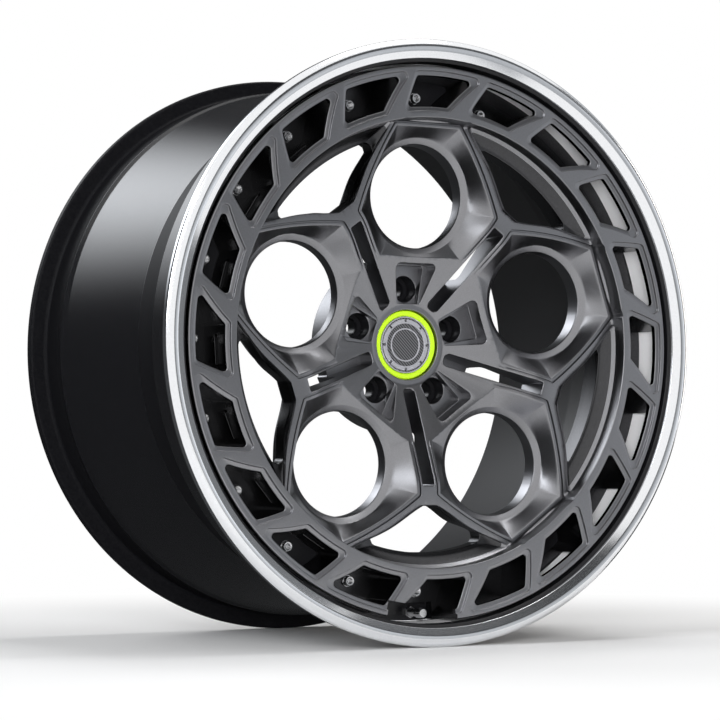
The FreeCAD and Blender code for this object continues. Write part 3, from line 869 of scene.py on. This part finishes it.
def makeCap():
    c = cap
    rim = lathe("cap_rim", roundProfile([
        (c["ringInner"], c["seat"], 0.3), (c["ringInner"], c["front"] + 1.0, 0.5),
        (c["ringInner"] + 1.2, c["front"], 0.6), (c["radius"] - 1.2, c["front"], 0.8),
        (c["radius"], c["front"] + 1.6, 0.6), (c["radius"], c["seat"], 0.3),
    ]), segments=c["around"])
    dress(rim, [coat("yellow-green lacquer")], "cap_ring", "cap_body")
    shade(rim, 40)
    back = c["seat"] - 0.5
    line = capRing("cap_line", c["lineInner"], c["lineOuter"], c["lineFront"], back, 0.4)
    dress(line, [coat("brushed silver")], "cap_disc", "cap_emblem")
    shade(line, 35)
    bezel = capRing("cap_bezel", c["bezelInner"], c["bezelOuter"], c["bezelFront"], back, 0.5)
    half, high = c["notchWidth"] / 2, c["bezelOuter"] + 1
    low = (c["bezelInner"] + c["bezelOuter"]) / 2 - c["notchIn"]
    notch = [(-half, low), (half, low), (half, high), (-half, high)]
    loops = [flat(notch, c["bezelFront"] - 2), flat(notch, back + 1)]
    carve(bezel, cutterRing("notches", loops, c["notches"]))
    dress(bezel, [coat("brushed silver")], "cap_disc")
    shade(bezel, 35)
    outer = c["ringInner"] - c["discGap"]
    disc = lathe("cap_disc", roundProfile([
        (c["middle"], c["discFront"], 0), (outer, c["discFront"], 0.2),
        (outer, c["seat"], 0.2), (c["middle"], c["seat"], 0),
    ]), segments=c["discAround"])
    dress(disc, [hatchedCoat()], "cap_disc")
    shade(disc, 35)
    trim = capRing("cap_trim", c["trimInner"], c["trimOuter"], c["trimFront"], c["discFront"] + 0.2, 0.3)
    dress(trim, [coat("brushed silver")], "cap_disc")
    shade(trim, 35)
    print("cap done")


# tyre valve

valve = {
    "ring": 265.5, "radius": 4.0, "tip": 42.0, "tipBevel": 0.6, "thread": 0.35, "pitch": 1.0, "foot": 7.0,
    "footBevel": 1.0, "footBack": 77.0, "around": 48, "capRadius": 5.2, "capLength": 9.0, "capTop": 2.0,
    "capCrown": [(1.4, 0.0), (0.3, 1.0), (0.0, 2.2)], "capEdge": (0.3, 0.4), "capGap": 0.15, "capAround": 96,
    "flutes": 12, "fluteDepth": 0.07, "nutHalf": 5.5, "nutHeight": 4.0, "nutBevel": 0.7, "nutRounding": 0.6,
    "nutGap": 0.1,
}


def aboutValve(name, profile, segments, fluteDepth=0.0):
    v = valve
    loops = []
    for radius, depth in profile:
        loop = []
        for i in range(segments):
            a = 2 * math.pi * i / segments
            r = radius
            if radius > v["radius"]:
                r = radius * (1 - fluteDepth * (0.5 + 0.5 * math.cos(v["flutes"] * a)))
            loop.append((r * math.cos(a), depth, -v["ring"] + r * math.sin(a)))
        loops.append(loop)
    return solid(name, loops)


def finishValve(piece, node):
    dress(piece, [coat("plated steel")], "valve_metal", node)
    shade(piece, 40)


def makeValve():
    v = valve
    joint, jointBack = lip["joint"], lip["jointBack"]
    stem = [(v["radius"] - v["tipBevel"], v["tip"]), (v["radius"], v["tip"] + v["tipBevel"])]
    depth = v["tip"] + 2 * v["tipBevel"]
    while depth < joint - 1:  # turned grooves stand for the thread
        stem += [(v["radius"], depth), (v["radius"] - v["thread"], depth + v["pitch"] / 2)]
        depth += v["pitch"]
    stem += [(v["radius"], joint), (v["radius"], jointBack), (v["foot"], jointBack),
             (v["foot"], v["footBack"] - v["footBevel"]), (v["foot"] - v["footBevel"], v["footBack"])]
    finishValve(aboutValve("valve_body", stem, v["around"]), "valve_stem")
    top, end = v["tip"] - v["capTop"], v["tip"] + v["capLength"]
    edgeIn, edgeUp = v["capEdge"]
    shell = [(v["capRadius"] - inwards, top + down) for inwards, down in v["capCrown"]]
    shell += [(v["capRadius"], end - edgeUp), (v["capRadius"] - edgeIn, end), (v["radius"] + v["capGap"], end)]
    finishValve(aboutValve("valve_dust_cap", shell, v["capAround"], v["fluteDepth"]), "valve_cap")
    reach = v["nutHalf"] / math.cos(math.pi / 6)
    angles = [math.radians(60 * i + 30) for i in range(6)]
    hexagon = [(reach * math.cos(a), -v["ring"] + reach * math.sin(a)) for a in angles]
    outline = roundOff(hexagon, [v["nutRounding"]] * 6, perCorner=2)
    bore = circleLike(outline, (0, -v["ring"]), v["radius"] + v["nutGap"])
    front = joint - v["nutHeight"]
    loops = [flat(outline, joint), flat(outline, front + v["nutBevel"]),
             flat(grow(outline, -v["nutBevel"]), front), flat(bore, front)]
    finishValve(solid("valve_hex_nut", loops), "valve_nut")
    print("valve done")


# studio

studio = {"azimuth": -29.403, "elevation": -2.2166, "distance": 2.467, "lens": 128.98, "sensor": 36.0,
          "lookX": -0.0939, "lookZ": -0.01943, "fill": 0.4, "floorSize": 14.0, "floorFade": (0.4, 0.95),
          "floorTone": (0.9, 0.9, 0.9), "floorRoughness": 0.6, "cardTint": (0.93, 0.96, 1, 1)}


def makeCamera():
    s = studio
    a, e = math.radians(s["azimuth"]), math.radians(s["elevation"])
    back = Vector((math.sin(a) * math.cos(e), -math.cos(a) * math.cos(e), math.sin(e)))
    lens = bpy.data.cameras.new("camera")
    lens.lens = s["lens"]
    lens.sensor_width = s["sensor"]
    camera = bpy.data.objects.new("camera", lens)
    camera.location = Vector((s["lookX"], lipFront, s["lookZ"])) + back * s["distance"]
    camera.rotation_euler = (-back).to_track_quat("-Z", "Y").to_euler()
    bpy.context.scene.collection.objects.link(camera)
    bpy.context.scene.camera = camera


def seenDirectly(nodes, links):  # 1 for rays that show the background itself
    path = nodes.new("ShaderNodeLightPath")
    total = path.outputs["Is Camera Ray"]
    for name in ("Is Glossy Ray", "Is Transmission Ray"):
        add = nodes.new("ShaderNodeMath")
        add.operation = "MAXIMUM"
        links.new(total, add.inputs[0])
        links.new(path.outputs[name], add.inputs[1])
        total = add.outputs[0]
    return total


def makeWorld():
    world = bpy.data.worlds.new("studio")
    bpy.context.scene.world = world
    world.use_nodes = True
    nodes, links = world.node_tree.nodes, world.node_tree.links
    nodes.clear()
    fill = nodes.new("ShaderNodeBackground")
    fill.inputs["Strength"].default_value = studio["fill"]
    white = nodes.new("ShaderNodeBackground")
    white.inputs["Color"].default_value = (1, 1, 1, 1)
    mix = nodes.new("ShaderNodeMixShader")
    out = nodes.new("ShaderNodeOutputWorld")
    links.new(seenDirectly(nodes, links), mix.inputs[0])
    links.new(fill.outputs[0], mix.inputs[1])
    links.new(white.outputs[0], mix.inputs[2])
    links.new(mix.outputs[0], out.inputs["Surface"])


def makeFloor():  # white floor that keeps the shadow near the wheel and fades into the background
    half, low = studio["floorSize"] / 2, cadLow.z
    corners = [(-half, -half, low), (half, -half, low), (half, half, low), (-half, half, low)]
    floor = bpy.data.meshes.new("floor")
    floor.from_pydata(corners, [], [(0, 1, 2, 3)])
    piece = bpy.data.objects.new("floor", floor)
    bpy.context.scene.collection.objects.link(piece)
    finish, nodes, links, shader = newFinish("floor white", studio["floorTone"], 0.0, studio["floorRoughness"])
    where = nodes.new("ShaderNodeTexCoord")
    flatten = nodes.new("ShaderNodeVectorMath")
    flatten.operation = "MULTIPLY"
    flatten.inputs[1].default_value = (1, 1, 0)
    links.new(where.outputs["Object"], flatten.inputs[0])
    far = nodes.new("ShaderNodeVectorMath")
    far.operation = "LENGTH"
    links.new(flatten.outputs[0], far.inputs[0])
    fade = nodes.new("ShaderNodeMapRange")
    fade.interpolation_type = "SMOOTHSTEP"
    fade.inputs["From Min"].default_value, fade.inputs["From Max"].default_value = studio["floorFade"]
    links.new(far.outputs["Value"], fade.inputs["Value"])
    glow = nodes.new("ShaderNodeEmission")
    glow.inputs["Color"].default_value = (1, 1, 1, 1)
    seen = nodes.new("ShaderNodeMath")
    seen.operation = "MULTIPLY"
    links.new(seenDirectly(nodes, links), seen.inputs[0])
    links.new(fade.outputs["Result"], seen.inputs[1])
    mix = nodes.new("ShaderNodeMixShader")
    links.new(seen.outputs[0], mix.inputs[0])
    links.new(shader.outputs[0], mix.inputs[1])
    links.new(glow.outputs[0], mix.inputs[2])
    links.new(mix.outputs[0], nodes["Material Output"].inputs["Surface"])
    floor.materials.append(finish)


lamps = {  # white and aimed at the origin unless said; one with mirrored False isn't seen in the part's metal
    "top": {"at": (0.6, 0.0, 2.4), "size": (1.4, 1.0), "power": 26},
    "left": {"at": (-2.4, -0.5, 1.1), "size": (1.1, 1.7), "power": 27, "tint": (0.93, 0.96, 1)},
    "right": {"at": (2.3, 0.35, 0.45), "size": (0.3, 1.4), "power": 8, "tint": (1, 0.92, 0.84)},
    "front": {"at": (-1.25, -2.3, 0.25), "size": (1.0, 1.0), "power": 70, "mirrored": False},
    "back": {"at": (-1.1, 2.6, 1.8), "aim": (0, 0.1, 0), "size": (2.6, 1.6), "power": 40, "mirrored": False},
}


def makeLamps():
    for name, lamp in lamps.items():
        light = bpy.data.lights.new(name, "AREA")
        light.shape = "RECTANGLE"
        light.size, light.size_y = lamp["size"]
        light.energy = lamp["power"]
        light.color = lamp.get("tint", (1, 1, 1))
        piece = bpy.data.objects.new(name, light)
        piece.location = lamp["at"]
        piece.visible_glossy = lamp.get("mirrored", True)
        aim = Vector(lamp.get("aim", (0, 0, 0))) - Vector(lamp["at"])
        piece.rotation_euler = aim.to_track_quat("-Z", "Y").to_euler()
        bpy.context.scene.collection.objects.link(piece)


cards = {  # planes that only reflections see, by two corners, with greys along x or out from a centre;
    # one with diffuse True is seen by diffuse rays instead
    "back": {"corners": ((-5.0, 2.8, -0.3), (2.4, 2.8, 3.8)), "grey": (0.06, 0.06)},
    "backLeft": {"corners": ((-5.0, 0.3, -0.3), (-5.0, 2.8, 3.8)), "grey": (0.06, 0.06)},
    "backRight": {"corners": ((2.4, 2.8, -0.3), (5.0, 0.6, 3.0)), "grey": (0.5, 0.5)},
    "right": {"corners": ((3.2, -1.5, -0.29), (3.2, 0.3, 2.6)), "grey": (0.2, 0.2)},
    "floorBehind": {"corners": ((-4.9, -0.1, -0.2955), (2.4, 2.8, -0.2955)), "grey": (0.06, 0.06)},
    "frontRight": {"corners": ((-0.1, -2.7, -0.29), (2.9, -1.5, 1.0)), "grey": (0.12, 1.1)},
    "frontHigh": {"corners": ((-0.1, -2.7, 1.0), (2.9, -1.5, 2.6)), "grey": (0.05, 0.15)},
    "floorFront": {"corners": ((0.3, -2.7, -0.29), (2.9, -0.7, -0.29)), "grey": (0.42, 0.95)},
    "backGlow": {"corners": ((-3.2, 2.6, -0.1), (0.9, 2.6, 3.7)), "grey": (6.0, 0.06),
                 "centre": (-1.15, 2.6, 1.95), "reach": 1.6},
    "lowLeft": {"corners": ((-0.8, -0.8, -0.3), (-0.8, 1.4, 0.35)), "grey": (0.0, 0.0), "diffuse": True},
}


def makeCards():
    for name, card in cards.items():
        (x0, y0, z0), (x1, y1, z1) = card["corners"]
        lying = z0 == z1
        corners = [(x0, y0, z0), (x1, y0 if lying else y1, z0), (x1, y1, z1), (x0, y1 if lying else y0, z1)]
        mesh = bpy.data.meshes.new("card_" + name)
        mesh.from_pydata(corners, [], [(0, 1, 2, 3)])
        piece = bpy.data.objects.new("card_" + name, mesh)
        bpy.context.scene.collection.objects.link(piece)
        finish = bpy.data.materials.new("card " + name)
        finish.use_nodes = True
        nodes, links = finish.node_tree.nodes, finish.node_tree.links
        glow = nodes.new("ShaderNodeEmission")
        where = nodes.new("ShaderNodeTexCoord")
        level = nodes.new("ShaderNodeMapRange")
        level.interpolation_type = "SMOOTHSTEP" if "centre" in card else "LINEAR"
        level.inputs["From Max"].default_value = card.get("reach", 1.0)
        level.inputs["To Min"].default_value, level.inputs["To Max"].default_value = card["grey"]
        if "centre" in card:
            far = nodes.new("ShaderNodeVectorMath")
            far.operation = "DISTANCE"
            far.inputs[1].default_value = card["centre"]
            links.new(where.outputs["Object"], far.inputs[0])
            links.new(far.outputs["Value"], level.inputs["Value"])
        else:
            split = nodes.new("ShaderNodeSeparateXYZ")
            links.new(where.outputs["Generated"], split.inputs[0])
            links.new(split.outputs["X"], level.inputs["Value"])
        glow.inputs["Color"].default_value = studio["cardTint"]
        links.new(level.outputs["Result"], glow.inputs["Strength"])
        links.new(glow.outputs[0], nodes["Material Output"].inputs["Surface"])
        mesh.materials.append(finish)
        piece.visible_camera = False
        piece.visible_diffuse = card.get("diffuse", False)
        piece.visible_glossy = not piece.visible_diffuse
        piece.visible_shadow = False
        piece.visible_transmission = False


makeFace()
makeLip()
makeBarrel()
makeBolts()
makeCap()
makeValve()
makeCamera()
makeWorld()
makeFloor()
makeLamps()
makeCards()
bpy.context.scene.view_settings.view_transform = "Standard"
print("studio done")
